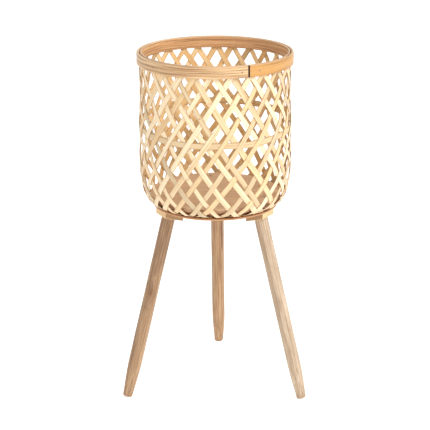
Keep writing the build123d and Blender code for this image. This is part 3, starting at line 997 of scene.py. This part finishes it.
bolt_steel = metal_finish("bolt_steel", tone(210, 206, 196), tone(168, 162, 150), 0.3)
bolt_profile = [
    (BOLT_RADIUS / 4, -BOLT_BELOW),
    (BOLT_RADIUS * 0.99, 8.0 * MM - BOLT_BELOW),
    (BOLT_RADIUS * 0.99, -NECK),
    (BOLT_RADIUS - 0.5 * MM, -NECK),
    (BOLT_RADIUS - 0.5 * MM, NECK - 0.01 * MM),
]
thread_steps = 100
for step in range(thread_steps + 1):
    bolt_profile.append((BOLT_RADIUS, NECK + (BOLT_ABOVE - BOLT_POINT - NECK) * step / thread_steps))
bolt_profile.append((BOLT_RADIUS - 0.85 * MM, BOLT_ABOVE))
bolt_profile = [(radius, along + LEG_LENGTH) for radius, along in bolt_profile]
for side, azimuth in LEG_AZIMUTHS.items():
    mesh = turned(f"hanger_bolt_{side}_threaded", bolt_profile, 36, leg_place(azimuth), bolt_thread)
    mesh.materials.append(bolt_steel)
    bolt = bpy.data.objects.new(mesh.name, mesh)
    scene.collection.objects.link(bolt)
    settle(bolt, "zinc_steel", f"{side}_bolt", f"hanger_bolt_{side}")

# ---------------------------------------------------------------------------------------------------
# Legs. Light hardwood rods, 22 mm across, turned to a taper over their last 64 mm and sanded by hand,
# so their sides are never quite true. Each is drilled down its top for the hanger bolt.
# ---------------------------------------------------------------------------------------------------
LEG_RADIUS = 11.0 * MM
TAPER_LENGTH = 64.0 * MM
TOP_CHAMFER = 0.6 * MM
BOLT_HOLE_RADIUS = 4.05 * MM
LEG_WAVER = 0.28 * MM


def leg_radius(along):
    """Radius of the turned rod at a height above its foot end."""
    if along >= TAPER_LENGTH:
        return LEG_RADIUS
    share = along / TAPER_LENGTH
    rise = 3 * share**2 - 2 * share**3
    start = TAPER_LENGTH * 0.09 * (share - 2 * share**2 + share**3)
    radius = FOOT_RADIUS + (LEG_RADIUS - FOOT_RADIUS) * rise + start
    if along < FOOT_ROUND:
        radius += sqrt(FOOT_ROUND**2 - (FOOT_ROUND - along) ** 2) - FOOT_ROUND
    return radius


def leg_profile():
    stations = [0, 0.15, 0.5, 1.0, 1.5, 2.0] + list(range(5, 309, 4)) + [309.0, 310.4]
    rod = [(leg_radius(along * MM), along * MM) for along in stations]
    rod.append((LEG_RADIUS - TOP_CHAMFER, LEG_LENGTH))
    return rod + [(BOLT_HOLE_RADIUS, LEG_LENGTH), (BOLT_HOLE_RADIUS, LEG_LENGTH - BOLT_BELOW - 0.3 * MM)]


def leg_finish(name, salt, pale, mid, deep, knot, crack):
    """Sanded hardwood: drawn-out grain with short dark pores, broad cloudy bands, a knot with the
    grain bent round it, a hair crack down from the top, and a foot rubbed a little darker."""
    f = Finish(name, 0.55)
    knot_angle, knot_height = knot
    dx = f.sub(f.side, LEG_RADIUS * cos(knot_angle))
    dy = f.sub(f.depth, LEG_RADIUS * sin(knot_angle))
    dz = f.mul(f.sub(f.along, knot_height * MM), 0.45)
    near = f.math("SQRT", f.add(f.mul(dx, dx), f.mul(dy, dy), f.mul(dz, dz)))
    bend = f.mul(f.between(near, 0.016, 0.002), 0.004)
    f.side = f.add(f.side, bend)
    fine = f.fibres(1100.0, 22.0, salt, 4.0)
    broad = f.fibres(260.0, 9.0, salt + 4.0, 3.0)
    body = f.ramp(f.add(f.mul(fine, 0.6), f.mul(broad, 0.4)), (0.36, deep), (0.66, pale), (0.5, mid))
    where = f.vector(f.mul(f.side, 30.0), f.add(f.mul(f.depth, 30.0), salt), f.mul(f.along, 11.0))
    cloud = f.noise(where, 1.0, 3.0)
    body = f.blend(f.mul(f.between(cloud, 0.5, 0.68), 0.45), body, deep)
    pores = f.between(f.fibres(2100.0, 85.0, salt + 8.0, 1.0), 0.60, 0.72)
    body = f.blend(f.mul(pores, 0.45), body, tone(132, 92, 60))
    heart = f.between(near, 0.0050, 0.0012)
    halo = f.mul(f.between(near, 0.012, 0.004), 0.3)
    body = f.blend(f.math("MAXIMUM", f.mul(heart, 0.8), halo), body, tone(118, 80, 50))
    crack_angle, crack_reach = crack
    off_x = f.sub(f.side, LEG_RADIUS * cos(crack_angle))
    off_y = f.sub(f.depth, LEG_RADIUS * sin(crack_angle))
    off = f.math("SQRT", f.add(f.mul(off_x, off_x), f.mul(off_y, off_y)))
    low = LEG_LENGTH - crack_reach * MM
    split = f.mul(f.between(off, 0.0024, 0.0010), f.between(f.along, low, low + 0.02))
    body = f.blend(f.mul(split, 0.85), body, tone(112, 66, 38))
    worn = f.between(f.along, 0.012, 0.0)
    body = f.blend(f.mul(worn, 0.4), body, tone(150, 108, 72))
    f.colour(body)
    f.gloss(fine, 0.46, 0.66)
    f.relief(f.sub(fine, f.mul(pores, 0.6)), 0.00018)
    return f.material


# Grain seed, pale, middle and deep tones, the knot (angle, height) and the crack (angle, reach)
LEG_WOODS = {
    "rear": (
        31.0, tone(202, 168, 130), tone(172, 135, 97), tone(126, 88, 58),
        (radians(-60), 250.0), (radians(224), 118.0),
    ),
    "left": (
        57.0, tone(194, 161, 127), tone(160, 126, 93), tone(112, 81, 57),
        (radians(60), 184.0), (radians(160), 30.0),
    ),
    "right": (
        83.0, tone(212, 193, 170), tone(184, 161, 135), tone(146, 118, 92),
        (radians(130), 205.0), (radians(20), 38.0),
    ),
}
for side, azimuth in LEG_AZIMUTHS.items():
    wood = leg_finish(f"leg_wood_{side}", *LEG_WOODS[side])
    salt = LEG_WOODS[side][0]

    def sanded(radius, along, angle):
        """Waver of the hand-sanded side, none at the top and the hole."""
        if radius < FOOT_RADIUS - FOOT_ROUND or along > LEG_LENGTH - 8 * MM:
            return radius
        where = Vector((cos(angle) * 0.8 + salt, sin(angle) * 0.8, along * 16.0))
        return radius + noise.noise(where) * LEG_WAVER

    mesh = turned(f"leg_{side}_turned", leg_profile(), 48, leg_place(azimuth), sanded)
    mesh.materials.append(wood)
    leg = bpy.data.objects.new(mesh.name, mesh)
    scene.collection.objects.link(leg)
    settle(leg, "leg_wood", f"{side}_leg", f"leg_{side}")
